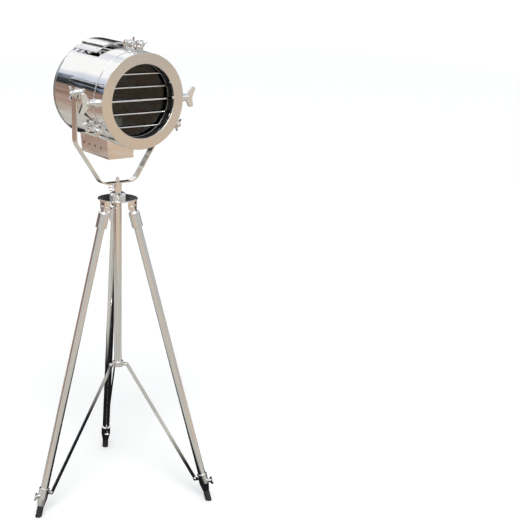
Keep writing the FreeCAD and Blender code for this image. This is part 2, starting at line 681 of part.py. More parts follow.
def build_leg(number, azimuth):
    frame = leg_frame(azimuth)
    socket_bottom = size.socket_top + size.socket_length
    tube_top = size.socket_top + size.socket_shoulder + 2

    cup = lathe(
        "Socket",
        [
            (0, -size.socket_top),
            (size.socket_radius - size.socket_shoulder / 2, -size.socket_top, 1),
            (size.socket_radius, -(size.socket_top + size.socket_shoulder), 1),
            (size.socket_radius, -socket_bottom, 1.2),
            (size.leg_radius, -socket_bottom),
            (size.leg_radius, -tube_top),
            (0, -tube_top),
        ],
    )
    tongue = slab(
        "Tongue",
        "XZ_Plane",
        [
            (-size.tongue_radius, -(size.socket_top + 1)),
            (size.tongue_radius, -(size.socket_top + 1)),
            (size.tongue_radius, size.tongue_radius, size.tongue_radius - 0.1),
            (-size.tongue_radius, size.tongue_radius, size.tongue_radius - 0.1),
        ],
        size.clevis_gap - 2 * size.slip,
        [(0, 0, size.hinge_bolt_radius + size.running)],
    )
    node(fuse(cup, tongue), f"leg_{number}_socket", frame)

    tube = lathe(
        "LegTube",
        [
            (size.leg_radius - size.leg_wall, -leg_tube_end),
            (size.leg_radius, -leg_tube_end),
            (size.leg_radius, -tube_top),
            (size.leg_radius - size.leg_wall, -tube_top),
        ],
    )
    node(tube, f"leg_{number}_tube", frame)

    clamp_top = -(leg_tube_end - size.clamp_grip)
    clamp_end = -(leg_tube_end + size.clamp_tail)
    inner_bore = size.inner_leg_radius + size.running
    sleeve = lathe(
        "Clamp",
        [
            (size.leg_radius, clamp_top),
            (size.clamp_radius + 1, clamp_top, 0.8),
            (size.clamp_radius + 1, clamp_top - size.clamp_lip - 2, 0.8),
            (size.clamp_radius, clamp_top - size.clamp_lip - 3),
            (size.clamp_radius, -(leg_tube_end + size.clamp_straight), 2),
            (size.clamp_tail_radius, clamp_end, 1),
            (inner_bore, clamp_end),
            (inner_bore, -leg_tube_end),
            (size.leg_radius, -leg_tube_end),
        ],
    )
    lug = slab(
        "ClampLug",
        "XZ_Plane",
        [
            (-(size.leg_radius + 1), -(brace_station - size.lug_radius)),
            (-(size.leg_radius + 1), -(brace_station + size.lug_radius)),
            (-(size.lug_reach + size.lug_radius), -(brace_station + size.lug_radius), size.lug_radius - 0.1),
            (-(size.lug_reach + size.lug_radius), -(brace_station - size.lug_radius), size.lug_radius - 0.1),
        ],
        size.lug_thick,
    )
    lug_nut = lathe(
        "LugNut",
        [
            (0, 0),
            (size.rivet_head_radius, 0),
            (size.rivet_head_radius, size.rivet_head_height + 1, 1.5),
            (0, size.rivet_head_height + 1),
        ],
    )
    lug_nut.Placement = at(-size.lug_reach, -size.lug_thick / 2, -brace_station) * turn(X_AXIS, 90)
    boss_reach = size.clamp_radius + size.leg_boss_length
    boss_place = at(size.leg_radius, 0, -clamp_screw_station) * TO_X
    boss = cylinder(size.leg_boss_radius, boss_reach - size.leg_radius, boss_place)
    screw_hole = cylinder(
        size.leg_screw_radius + size.running,
        boss_reach,
        at(1, 0, -clamp_screw_station) * TO_X,
    )
    inner_space = cylinder(inner_bore, size.clamp_tail + 20, at(0, 0, clamp_end - 10))
    tube_space = cylinder(size.leg_radius, size.clamp_grip + 10, at(0, 0, -leg_tube_end))
    node(
        cut(fuse(sleeve, lug, lug_nut, boss), inner_space, tube_space, screw_hole),
        f"leg_{number}_clamp",
        frame,
    )

    shank_start = size.inner_leg_radius + size.slip
    shank_end = boss_reach + size.slip
    screw = lathe(
        "ClampScrew",
        [
            (0, shank_start),
            (size.leg_screw_radius, shank_start),
            (size.leg_screw_radius, shank_end),
            (size.leg_screw_hub, shank_end, 0.8),
            (size.leg_screw_hub - 1, shank_end + size.leg_screw_hub_length, 1.2),
            (0, shank_end + size.leg_screw_hub_length),
        ],
    )
    ears = wings("ClampScrewWings", size.leg_screw_span, size.leg_screw_rise, size.leg_screw_hub - 1)
    ears.Placement = at(0, 0, shank_end)
    screw_frame = frame * at(0, 0, -clamp_screw_station) * TO_X
    node(fuse(screw, ears), f"leg_{number}_wing_screw", screw_frame)

    inner_top = -(leg_tube_end - size.leg_extension - size.inner_leg_grip)
    foot_top = clamp_end - size.slip
    cup_bottom = foot_top - size.foot_cup
    inner_leg = lathe(
        "InnerLeg",
        [
            (size.inner_leg_radius - size.inner_leg_wall, cup_bottom),
            (size.inner_leg_radius, cup_bottom),
            (size.inner_leg_radius, inner_top, 0.4),
            (size.inner_leg_radius - size.inner_leg_wall, inner_top),
        ],
    )
    node(inner_leg, f"leg_{number}_inner_tube", frame)

    foot_low = -(leg_length + size.foot_radius)
    rubber = lathe(
        "Foot",
        [
            (size.inner_leg_radius, foot_top),
            (size.inner_leg_radius + size.foot_wall_top, foot_top, 0.8),
            (size.foot_radius, cup_bottom - 4, 3),
            (size.foot_radius, foot_low),
            (0, foot_low),
            (0, cup_bottom),
            (size.inner_leg_radius, cup_bottom),
        ],
    )
    floor_side = 4 * size.foot_radius
    floor_place = leg_frame(0).inverse() * at(size.foot_spread, 0, -floor_side)
    floor = block(floor_side, floor_side, floor_side, floor_place)
    node(cut(rubber, floor), f"leg_{number}_foot", frame)


# ---------------------------------------------------------------- column and braces

def build_column():
    column_length = column_top - size.column_bottom_height
    bore = size.column_radius - size.column_wall
    knob_turn = turn(Z_AXIS, size.neck_knob_azimuth)
    knob_height = column_top - size.neck_knob_drop
    tube = lathe(
        "ColumnTube",
        [
            (bore, 0),
            (size.column_radius, 0),
            (size.column_radius, column_length, 0.6),
            (bore, column_length, 0.4),
        ],
    )
    hole_place = at(0, 0, column_length - size.neck_knob_drop) * knob_turn * TO_X
    hole = cylinder(size.neck_screw_radius + size.running, size.column_radius + size.cutter_over, hole_place)
    node(cut(tube, hole), "column_tube", at(0, 0, size.column_bottom_height))

    shank_start = bore
    knob_start = size.column_radius + size.neck_knob_standoff
    knob_end = knob_start + size.neck_knob_length
    knob = lathe(
        "NeckKnob",
        [
            (0, shank_start),
            (size.neck_screw_radius, shank_start),
            (size.neck_screw_radius, knob_start),
            (size.neck_knob_radius - 3, knob_start),
            (size.neck_knob_radius, knob_start + 3, 1),
            (size.neck_knob_radius, knob_end, size.neck_knob_edge),
            (0, knob_end),
        ],
    )
    node(knob, "neck_knob", at(0, 0, knob_height) * knob_turn * TO_X)

    ring = lathe(
        "FootCollar",
        [
            (size.column_radius, 0),
            (size.foot_collar_radius, 0, size.foot_collar_edge),
            (size.foot_collar_radius, size.foot_collar_height, size.foot_collar_edge),
            (size.column_radius, size.foot_collar_height),
        ],
    )
    middle = size.foot_collar_height / 2
    lug_end = size.brace_hub_radius + size.lug_radius
    lug = slab(
        "FootLug",
        "XZ_Plane",
        [
            (size.column_radius + 2, middle - size.lug_radius),
            (lug_end, middle - size.lug_radius, size.lug_radius - 0.1),
            (lug_end, middle + size.lug_radius, size.lug_radius - 0.1),
            (size.column_radius + 2, middle + size.lug_radius),
        ],
        size.lug_thick,
    )
    pin_length = size.lug_thick / 2 + size.slip + size.brace_thick + size.slip
    pin = lathe(
        "BracePin",
        [
            (0, -(size.lug_thick / 2 + size.rivet_head_height)),
            (size.rivet_head_radius, -(size.lug_thick / 2 + size.rivet_head_height), 1.8),
            (size.rivet_head_radius, -size.lug_thick / 2),
            (size.brace_pin_radius, -size.lug_thick / 2),
            (size.brace_pin_radius, pin_length),
            (size.rivet_head_radius, pin_length),
            (size.rivet_head_radius, pin_length + size.rivet_head_height, 1.8),
            (0, pin_length + size.rivet_head_height),
        ],
    )
    pin.Placement = at(size.brace_hub_radius, 0, middle) * TO_Y
    arm = fuse(lug, pin)
    arms = [copy_at(arm, turn(Z_AXIS, azimuth)) for azimuth in leg_azimuths]
    node(fuse(ring, *arms), "column_foot_collar", at(0, 0, size.column_bottom_height))


def build_braces():
    lug_point = leg_frame(0).multVec(V(-size.lug_reach.value, 0, -brace_station.value))
    run = lug_point.x - size.brace_hub_radius.value
    fall = brace_top_height.value - lug_point.z
    swing = math.degrees(math.atan2(run, fall))
    cosine = leg_pivot_height / leg_length
    sine = leg_run / leg_length
    run_size = (
        size.leg_pivot_radius + brace_station * sine - size.lug_reach * cosine - size.brace_hub_radius
    )
    fall_size = brace_top_height - leg_pivot_height + brace_station * cosine + size.lug_reach * sine
    length = root(run_size * run_size + fall_size * fall_size)
    half = size.brace_width / 2
    for number, azimuth in enumerate(leg_azimuths, start=1):
        bar = slab(
            "BraceBar",
            "XZ_Plane",
            rounded_bar(half, -(length + half), half),
            size.brace_thick,
            [(0, 0, size.brace_pin_radius + size.running)],
        )
        rivet = lathe(
            "BraceRivet",
            [
                (0, 0),
                (size.rivet_head_radius, 0),
                (size.rivet_head_radius, size.brace_thick / 2 + size.rivet_head_height, 1.8),
                (0, size.brace_thick / 2 + size.rivet_head_height),
            ],
        )
        rivet.Placement = at(0, 0, -length) * TO_Y
        frame = turn(Z_AXIS, azimuth) * at(size.brace_hub_radius, brace_offset, brace_top_height)
        node(fuse(bar, rivet), f"brace_{number}", frame * turn(Y_AXIS, -swing))


# ---------------------------------------------------------------- yoke

def build_yoke():
    half_thick = size.strap_thick / 2
    arm = arm_inside + half_thick
    slope_run = arm - size.crossbar_half
    slope_fall = size.yoke_depth - size.arm_drop
    slope = root(slope_run * slope_run + slope_fall * slope_fall)
    upper_mitre = half_thick * (slope - slope_fall) / slope_run
    lower_mitre = half_thick * (slope - slope_run) / slope_fall
    top = size.strap_width / 2
    outer_bend = size.bend_radius + size.strap_thick
    right = [
        (arm_outside, top),
        (arm_outside, -(size.arm_drop + upper_mitre), outer_bend),
        (size.crossbar_half + lower_mitre, -(size.yoke_depth + half_thick), outer_bend),
    ]
    inside = [
        (size.crossbar_half - lower_mitre, half_thick - size.yoke_depth, size.bend_radius),
        (arm_inside, upper_mitre - size.arm_drop, size.bend_radius),
        (arm_inside, top),
    ]
    left_outside = [(-corner[0],) + corner[1:] for corner in reversed(right)]
    left_inside = [(-corner[0],) + corner[1:] for corner in reversed(inside)]
    strap = slab("YokeStrap", "XZ_Plane", right + left_outside + left_inside + inside, size.strap_width)

    side = size.strap_width
    half = side / 2
    rounding = lathe(
        "ArmEnds",
        [
            (0, -arm_outside - 1),
            (half, -arm_outside - 1),
            (half, arm_outside + 1),
            (0, arm_outside + 1),
        ],
    )
    rounding.Placement = TO_X
    corner_height = half + size.cutter_over
    corner_block = block(2 * arm_outside + 2, side + 2, corner_height, at())
    corners = cut(corner_block, rounding)
    stud_hole = long_cylinder(
        size.pivot_stud_radius + size.running, arm_outside + size.cutter_over, TO_X
    )
    crossbar_hole = cylinder(
        size.yoke_stud_radius, size.strap_thick + 2, at(0, 0, -(size.yoke_depth + half_thick + 1))
    )
    node(cut(strap, corners, stud_hole, crossbar_hole), "yoke_strap", at(0, 0, tilt_height))

    spigot_radius = size.column_radius - size.column_wall - size.running
    stud_top = size.spigot_flange + size.strap_thick + size.acorn_hex_height
    groove_low = -(size.neck_knob_drop + size.neck_screw_radius + size.spigot_groove_side)
    groove_high = -(size.neck_knob_drop - size.neck_screw_radius - size.spigot_groove_side)
    groove_radius = spigot_radius - size.spigot_groove
    spigot = lathe(
        "Spigot",
        [
            (0, -size.spigot_length),
            (spigot_radius, -size.spigot_length, 1),
            (spigot_radius, groove_low - 1),
            (groove_radius, groove_low),
            (groove_radius, groove_high),
            (spigot_radius, groove_high + 1),
            (spigot_radius, 0),
            (size.column_radius, 0),
            (size.column_radius, size.spigot_flange, 0.5),
            (size.yoke_stud_radius, size.spigot_flange),
            (size.yoke_stud_radius, stud_top),
            (0, stud_top),
        ],
    )
    node(spigot, "yoke_spigot", at(0, 0, column_top + size.slip))

    hexagon = doc.addObject("Part::Prism", "Hexagon")
    hexagon.Polygon = 6
    bind(hexagon, Circumradius=size.acorn_radius, Height=size.acorn_hex_height)
    dome = lathe(
        "AcornDome",
        [
            (0, 0),
            (size.acorn_radius * 0.82, 0),
            (size.acorn_radius * 0.82, size.acorn_height, size.acorn_radius * 0.8),
            (0, size.acorn_height),
        ],
    )
    thread = cylinder(size.yoke_stud_radius, size.acorn_hex_height)
    node(cut(fuse(hexagon, dome), thread), "acorn_nut", at(0, 0, crossbar_height + half_thick))


# ---------------------------------------------------------------- drum

def build_drum():
    seam_rear = size.seam_reach - size.seam_gap / 2
    seam_front = size.seam_reach + size.seam_gap / 2
    bead_out = size.drum_radius + size.bead_height
    rear = -size.rear_reach
    shell = lathe(
        "DrumShell",
        [
            (drum_inside, rear + size.sheet),
            (size.drum_radius, rear + size.sheet),
            (size.drum_radius, seam_rear - size.bead_width),
            (bead_out, seam_rear - size.bead_width, size.bead_edge),
            (bead_out, seam_rear, size.bead_edge),
            (drum_inside, seam_rear),
        ],
    )
    slot_length = size.vent_length - 2 * size.vent_margin
    slot_rear = size.vent_margin - size.vent_rear
    openings = [
        block(
            size.vent_slot_width,
            2 * size.cutter_over,
            slot_length,
            turn(Z_AXIS, sign * size.vent_slot_angle) * at(0, size.drum_radius, slot_rear),
        )
        for sign in (-1, 1)
    ]
    throat = block(
        2 * size.throat_half,
        2 * size.cutter_over,
        size.throat_length,
        at(0, -size.drum_radius, -size.lamp_rear - size.throat_length - size.bracket_strip / 2),
    )
    node(cut(shell, *openings, throat), "drum_shell", DRUM)

    cap = lathe(
        "RearCap",
        [
            (0, rear - size.rear_dome),
            (rear_dome_radius, rear - size.rear_dome, size.rear_dome_crown),
            (rear_flat_radius, rear, size.rear_dome_root),
            (bead_out, rear, size.bead_edge),
            (bead_out, rear + size.bead_width + size.sheet, size.bead_edge),
            (size.drum_radius, rear + size.bead_width + size.sheet),
            (size.drum_radius, rear + size.sheet),
            (rear_flat_radius, rear + size.sheet, size.rear_dome_root),
            (rear_dome_radius, rear + size.sheet - size.rear_dome, size.rear_dome_crown),
            (0, rear + size.sheet - size.rear_dome),
        ],
    )
    node(cap, "rear_cap", DRUM)

    lip_out = drum_inside - size.slip
    lip_in = lip_out - size.sheet
    ring_back = size.front_reach - size.ring_thick
    door = lathe(
        "DoorDrum",
        [
            (lip_in, size.seam_reach - size.door_lip),
            (lip_out, size.seam_reach - size.door_lip),
            (lip_out, seam_front),
            (size.drum_radius, seam_front, 0.5),
            (size.drum_radius, ring_back),
            (drum_inside, ring_back),
            (drum_inside, size.seam_reach + size.door_lip),
            (lip_in, size.seam_reach + size.door_lip),
        ],
    )
    axle_hole = long_cylinder(
        size.axle_radius + size.running,
        size.drum_radius + size.cutter_over,
        TO_X,
        at(0, 0, size.rod_reach),
    )
    node(cut(door, axle_hole), "door_drum", DRUM)

    ring = lathe(
        "FrontRing",
        [
            (ring_inside, size.front_reach - size.ring_lip),
            (ring_inside + size.sheet, size.front_reach - size.ring_lip),
            (ring_inside + size.sheet, ring_back),
            (size.drum_radius, ring_back),
            (size.drum_radius, size.front_reach, size.ring_edge),
            (ring_inside, size.front_reach, size.ring_edge),
        ],
    )
    node(ring, "front_ring", DRUM)

    glass_radius = drum_inside - size.lens_edge_gap
    glass = lathe(
        "LensGlass",
        [
            (0, size.lens_reach),
            (glass_radius, size.lens_reach, 0.5),
            (glass_radius, size.lens_reach + size.lens_thick, 0.5),
            (0, size.lens_reach + size.lens_thick),
        ],
    )
    node(glass, "lens_glass", DRUM)

    retainer = lathe(
        "Retainer",
        [
            (retainer_inside, 0, 0.4),
            (drum_inside, 0),
            (drum_inside, size.retainer_thick),
            (retainer_inside, size.retainer_thick, 0.4),
        ],
    )
    rings = [
        copy_at(retainer, at(0, 0, size.lens_reach - size.retainer_thick)),
        copy_at(retainer, at(0, 0, size.lens_reach + size.lens_thick)),
    ]
    node(group(rings), "lens_retainers", DRUM)

    rods = []
    for step in (-2, -1, 1, 2):
        height = step * size.rod_pitch
        edge = abs(step) * size.rod_pitch + size.rod_radius
        half = root(drum_inside * drum_inside - edge * edge)
        rods.append(long_cylinder(size.rod_radius, half, TO_X, at(0, height, size.rod_reach)))
    node(group(rods), "grille_rods", DRUM)


def build_axle():
    boss_end = size.drum_radius + size.axle_boss_length
    station = at(0, 0, size.rod_reach)
    barrel = long_cylinder(size.axle_boss_radius, boss_end, TO_X, station)
    hole = long_cylinder(size.axle_radius + size.running, boss_end + size.cutter_over, TO_X, station)
    node(cut(barrel, drum_solid(), hole), "axle_bosses", DRUM)

    axle_half = boss_end + size.handle_hub_length - 2
    shaft = long_cylinder(size.axle_radius, axle_half, TO_X)
    screw = lathe(
        "AxleScrew",
        [
            (0, 0),
            (size.axle_screw_radius * 0.6, 0),
            (size.axle_screw_radius * 0.6, size.axle_radius + 1),
            (size.axle_screw_radius, size.axle_radius + 1),
            (size.axle_screw_radius, size.axle_screw_height, 1),
            (0, size.axle_screw_height),
        ],
    )
    node(fuse(shaft, screw), "centre_axle", DRUM * station)

    start = boss_end + size.slip
    end = boss_end + size.handle_length
    half = size.handle_hub_radius
    tail = slab(
        "Fishtail",
        "XY_Plane",
        [
            (start + 1, -half * 0.9),
            (start + 3, -half * 1.1, 6),
            (end - size.handle_tip_width, -size.handle_span, 4),
            (end, -(size.handle_span - 3), 4),
            (boss_end + size.handle_valley, 0, 14),
            (end, size.handle_span - 3, 4),
            (end - size.handle_tip_width, size.handle_span, 4),
            (start + 3, half * 1.1, 6),
            (start + 1, half * 0.9),
        ],
        size.handle_thick,
    )
    hub = lathe(
        "FishtailHub",
        [
            (0, start),
            (half, start, 1),
            (half, start + size.handle_hub_length, 3),
            (0, start + size.handle_hub_length),
        ],
    )
    hub.Placement = TO_X
    socket = cylinder(size.axle_radius, axle_half, TO_X)
    handle = cut(fuse(tail, hub), socket)
    pair = [copy_at(handle, at()), copy_at(handle, turn(Y_AXIS, 180))]
    node(group(pair), "fishtail_handles", DRUM * station * turn(X_AXIS, size.handle_turn))


def build_door_clamps():
    radius = size.drum_radius
    foot_low = radius - 3
    pin_y = clamp_axis_radius
    ear_top = pin_y + size.bracket_half
    foot_top = radius + size.bracket_foot
    cheeks = slab(
        "ClampBracket",
        "YZ_Plane",
        [
            (foot_low, -size.bracket_foot_half),
            (foot_top, -size.bracket_foot_half, 2),
            (foot_top, -size.bracket_half, 1),
            (ear_top, -size.bracket_half, size.bracket_half - 0.1),
            (ear_top, size.bracket_half, size.bracket_half - 0.1),
            (foot_top, size.bracket_half, 1),
            (foot_top, size.bracket_foot_half, 2),
            (foot_low, size.bracket_foot_half),
        ],
        size.bracket_width,
        [(pin_y, 0, size.clamp_pin_radius)],
    )
    slot = block(
        size.bracket_slot,
        2 * size.clamp_pin_height,
        2 * size.bracket_foot_half + size.cutter_over,
        at(0, foot_top + size.clamp_pin_height, -(size.bracket_foot_half + size.cutter_over / 2)),
    )
    bracket = cut(cheeks, slot, drum_solid())
    half = size.bracket_width / 2
    head = half + size.clamp_pin_head_height
    pin = lathe(
        "ClampPin",
        [
            (0, -head),
            (size.clamp_pin_head, -head, 1),
            (size.clamp_pin_head, -half),
            (size.clamp_pin_radius, -half),
            (size.clamp_pin_radius, half),
            (size.clamp_pin_head, half),
            (size.clamp_pin_head, head, 1),
            (0, head),
        ],
    )
    station = at(0, 0, size.clamp_pin_reach)
    brackets = []
    for azimuth in clamp_azimuths:
        frame = clamp_frame(azimuth)
        brackets.append(copy_at(bracket, frame * station))
        brackets.append(copy_at(pin, frame * station * at(0, pin_y, 0) * TO_X))
    node(group(brackets), "clamp_brackets", DRUM)

    slot_half = size.swing_bolt_radius + size.slip
    slot_low = pin_y - slot_half
    lug_top = radius + size.door_lug_height
    wide = size.door_lug_half
    plate = slab(
        "DoorLug",
        "XY_Plane",
        [
            (-wide, foot_low),
            (wide, foot_low),
            (wide, lug_top, 3),
            (slot_half, lug_top, 1),
            (slot_half, slot_low, slot_half - 0.1),
            (-slot_half, slot_low, slot_half - 0.1),
            (-slot_half, lug_top, 1),
            (-wide, lug_top, 3),
        ],
        size.door_lug_thick,
    )
    lug = cut(plate, drum_solid())
    lug_middle = size.lug_reach_front + size.door_lug_thick / 2
    lugs = [copy_at(lug, clamp_frame(azimuth) * at(0, 0, lug_middle)) for azimuth in clamp_azimuths]
    node(group(lugs), "door_lugs", DRUM)

    eye_width = size.bracket_slot - 2 * size.slip
    nut_turns = [size.clamp_nut_turn_1, size.clamp_nut_turn_2, size.clamp_nut_turn_3]
    for number, azimuth in enumerate(clamp_azimuths, start=1):
        frame = DRUM * clamp_frame(azimuth) * at(0, pin_y, size.clamp_pin_reach)
        eye = long_cylinder(size.swing_eye_radius, eye_width / 2, TO_X)
        hole = long_cylinder(size.clamp_pin_radius + size.running, eye_width, TO_X)
        shank = cylinder(
            size.swing_bolt_radius,
            size.swing_bolt_length - size.clamp_pin_radius - 1,
            at(0, 0, size.clamp_pin_radius + 1),
        )
        jam = slab(
            "JamWing",
            "YZ_Plane",
            [
                (-size.jam_wing_span, -size.jam_wing_width / 2, 2.5),
                (0, -size.swing_bolt_radius, 3),
                (size.jam_wing_span, -size.jam_wing_width / 2, 2.5),
                (size.jam_wing_span, size.jam_wing_width / 2, 2.5),
                (0, size.swing_bolt_radius, 3),
                (-size.jam_wing_span, size.jam_wing_width / 2, 2.5),
            ],
            size.wing_thick,
        )
        jam.Placement = at(0, 0, size.jam_wing_reach)
        jam_start = size.jam_wing_reach - size.jam_wing_width / 2
        jam_hub = cylinder(size.jam_hub_radius, size.jam_wing_width, at(0, 0, jam_start))
        node(cut(fuse(eye, shank, jam, jam_hub), hole), f"swing_bolt_{number}", frame)

        nut = wing_nut(
            size.swing_bolt_radius + size.running,
            size.clamp_nut_radius,
            size.clamp_nut_height,
            size.clamp_nut_span,
            size.clamp_nut_rise,
        )
        nut_start = size.lug_reach_front + size.door_lug_thick + size.clamp_nut_gap - size.clamp_pin_reach
        node(nut, f"clamp_wing_nut_{number}", frame * at(0, 0, nut_start) * turn(Z_AXIS, nut_turns[number - 1]))


def build_pivots():
    boss_end = arm_inside - size.slip
    stud_end = arm_outside + size.pivot_stud_out
    pad_low = size.axis_drop - size.pivot_pad_half
    pad_high = size.axis_drop + size.pivot_pad_half
    pad_depth = 4 * size.pivot_pad_thick
    pad_middle = size.drum_radius + size.pivot_pad_thick - pad_depth / 2
    bosses = []
    for side in (-1, 1):
        post = lathe(
            "PivotBoss",
            [
                (0, size.drum_radius - 3),
                (size.pivot_boss_radius, size.drum_radius - 3),
                (size.pivot_boss_radius, boss_end, 0.8),
                (size.pivot_stud_radius, boss_end),
                (size.pivot_stud_radius, stud_end, 0.8),
                (0, stud_end),
            ],
        )
        post.Placement = at(0, size.axis_drop, 0) * turn(Y_AXIS, 90 * side)
        pad = slab(
            "PivotPad",
            "YZ_Plane",
            [
                (pad_low, -size.pivot_pad_rear, size.pivot_pad_corner),
                (pad_low, size.pivot_pad_front, size.pivot_pad_corner),
                (pad_high, size.pivot_pad_front, size.pivot_pad_corner),
                (pad_high, -size.pivot_pad_rear, size.pivot_pad_corner),
            ],
            pad_depth,
        )
        pad.Placement = at(side * pad_middle, 0, 0)
        bosses.append(cut(fuse(post, pad), drum_solid()))
    node(group(bosses), "pivot_studs", DRUM)

    for name, side in (("left", -1), ("right", 1)):
        nut = wing_nut(
            size.pivot_stud_radius + size.running,
            size.pivot_nut_radius,
            size.pivot_nut_height,
            size.pivot_nut_span,
            size.pivot_nut_rise,
        )
        place = TILT * turn(Y_AXIS, 90 * side) * at(0, 0, arm_outside + size.slip) * turn(Z_AXIS, 90)
        node(nut, f"pivot_wing_nut_{name}", place)


def build_vent():
    under = size.drum_radius + size.vent_gap
    over = under + size.vent_thick
    start = turn(Z_AXIS, 90 - size.vent_angle / 2) * at(0, 0, -size.vent_rear)
    outer = cylinder(over, size.vent_length, start)
    bind(outer, Angle=size.vent_angle)
    inner_turn = turn(Z_AXIS, 85 - size.vent_angle / 2)
    inner = cylinder(under, size.vent_length + 10, inner_turn * at(0, 0, -(size.vent_rear + 5)))
    bind(inner, Angle=size.vent_angle + 10)
    slot_length = size.vent_length - 2 * size.vent_margin
    slots = [
        block(
            size.vent_slot_width,
            4 * size.vent_gap,
            slot_length,
            turn(Z_AXIS, sign * size.vent_slot_angle) * at(0, under, size.vent_margin - size.vent_rear),
        )
        for sign in (-1, 1)
    ]
    screw_spots = []
    for side in (-1, 1):
        for end in (size.vent_screw_margin, size.vent_length - size.vent_screw_margin):
            spot = turn(Z_AXIS, side * size.vent_screw_angle) * at(0, 0, end - size.vent_rear)
            screw_spots.append(spot * TO_Y)
    holes = [cylinder(size.screw_radius, over + size.cutter_over, spot) for spot in screw_spots]
    crown_start = turn(Z_AXIS, 90 - size.vent_crown_angle / 2) * at(0, 0, -size.vent_rear)
    crown = cylinder(over + size.vent_crown_rise, size.vent_length, crown_start)
    bind(crown, Angle=size.vent_crown_angle)
    hollow_start = turn(Z_AXIS, 91 - size.vent_crown_angle / 2) * at(0, 0, size.vent_thick - size.vent_rear)
    hollow = cylinder(under + size.vent_crown_rise, size.vent_length - 2 * size.vent_thick, hollow_start)
    bind(hollow, Angle=size.vent_crown_angle - 2)
    node(cut(fuse(outer, crown), inner, hollow, *slots, *holes), "vent_cap", DRUM)

    spacer = lathe(
        "Spacer",
        [
            (0, size.drum_radius - 3),
            (size.spacer_radius, size.drum_radius - 3),
            (size.spacer_radius, under),
            (size.screw_radius, under),
            (size.screw_radius, over),
            (size.screw_head_radius, over),
            (size.screw_head_radius, over + size.screw_head_height, size.screw_head_height * 0.8),
            (0, over + size.screw_head_height),
        ],
    )
    slim = cut(group([copy_at(spacer, spot) for spot in screw_spots]), drum_solid())
    return slim


# ---------------------------------------------------------------- box

def build_box():
    length = size.box_rear + size.box_front
    middle = at(0, 0, (size.box_front - size.box_rear) / 2)
    outer = slab(
        "BoxOuter",
        "XY_Plane",
        [
            (-size.box_top_half, -box_top_drop),
            (size.box_top_half, -box_top_drop),
            (size.box_bottom_half, -box_drop, 1),
            (-size.box_bottom_half, -box_drop, 1),
        ],
        length,
    )
    outer.Placement = middle
    top_inside = size.box_top_half - size.sheet
    bottom_inside = size.box_bottom_half - size.sheet
    inner = slab(
        "BoxInner",
        "XY_Plane",
        [
            (-top_inside, -box_top_drop + 5),
            (top_inside, -box_top_drop + 5),
            (top_inside, -box_top_drop),
            (bottom_inside, -box_drop),
            (bottom_inside, -box_drop - 5),
            (-bottom_inside, -box_drop - 5),
            (-bottom_inside, -box_drop),
            (-top_inside, -box_top_drop),
        ],
        length - 2 * size.sheet,
    )
    inner.Placement = middle
    holes = [
        long_cylinder(
            size.box_hole_radius,
            size.box_top_half + size.cutter_over,
            TO_X,
            at(0, -box_hole_drop, i * size.box_hole_pitch - size.box_hole_rear),
        )
        for i in range(4)
    ]
    gland_spot = at(0, -gland_drop, -size.box_rear) * turn(X_AXIS, 180)
    gland_hole = cylinder(size.gland_radius, 4 * size.sheet, gland_spot * at(0, 0, -2 * size.sheet))
    rim = cylinder(
        size.drum_radius + size.bead_height + size.running,
        size.bead_width + size.sheet + size.running,
        at(0, 0, -size.rear_reach),
    )
    node(cut(outer, inner, drum_solid(), rim, gland_hole, *holes), "box_shell", DRUM)

    taper = (size.box_top_half - size.box_bottom_half) / (box_drop - box_top_drop)
    lip_inside = size.box_bottom_half + size.lid_lip * taper + 0.1
    lip_outside = lip_inside + size.lid_thick
    lid_drop = box_drop + size.lid_thick
    tray_length = length + 2 * size.lid_thick + 0.2
    tray = slab(
        "LidTray",
        "XY_Plane",
        [
            (-lip_outside, size.lid_lip - box_drop),
            (lip_outside, size.lid_lip - box_drop),
            (lip_outside, -lid_drop, 1.2),
            (-lip_outside, -lid_drop, 1.2),
        ],
        tray_length,
    )
    tray.Placement = middle
    well = slab(
        "LidWell",
        "XY_Plane",
        [
            (-lip_inside, size.lid_lip - box_drop + 5),
            (lip_inside, size.lid_lip - box_drop + 5),
            (lip_inside, -box_drop),
            (-lip_inside, -box_drop),
        ],
        length + 0.2,
    )
    well.Placement = middle
    node(cut(tray, well), "box_lid", DRUM)

    gland = lathe(
        "CableGland",
        [
            (size.gland_bore, -size.sheet - 6),
            (size.gland_nut_radius - 1, -size.sheet - 6, 0.6),
            (size.gland_nut_radius - 1, -size.sheet),
            (size.gland_radius, -size.sheet),
            (size.gland_radius, 0),
            (size.gland_nut_radius, 0),
            (size.gland_nut_radius, 7, 0.8),
            (size.gland_radius + 1, 8),
            (size.gland_radius + 1, size.gland_out - 2, 1),
            (size.gland_radius - 2, size.gland_out, 0.5),
            (size.gland_bore, size.gland_out),
        ],
    )
    node(gland, "cable_gland", DRUM * gland_spot)

    rivet = lathe(
        "LidScrew",
        [
            (0, 0),
            (size.screw_head_radius, 0),
            (size.screw_head_radius, size.screw_head_height, size.screw_head_height * 0.8),
            (0, size.screw_head_height),
        ],
    )
    screws = []
    for side in (-1, 1):
        for end in (size.box_front - 14, 14 - size.box_rear):
            spot = at(side * (size.box_bottom_half - 12), -lid_drop, end) * turn(X_AXIS, 90)
            screws.append(copy_at(rivet, spot))
    return screws


# ---------------------------------------------------------------- lamp

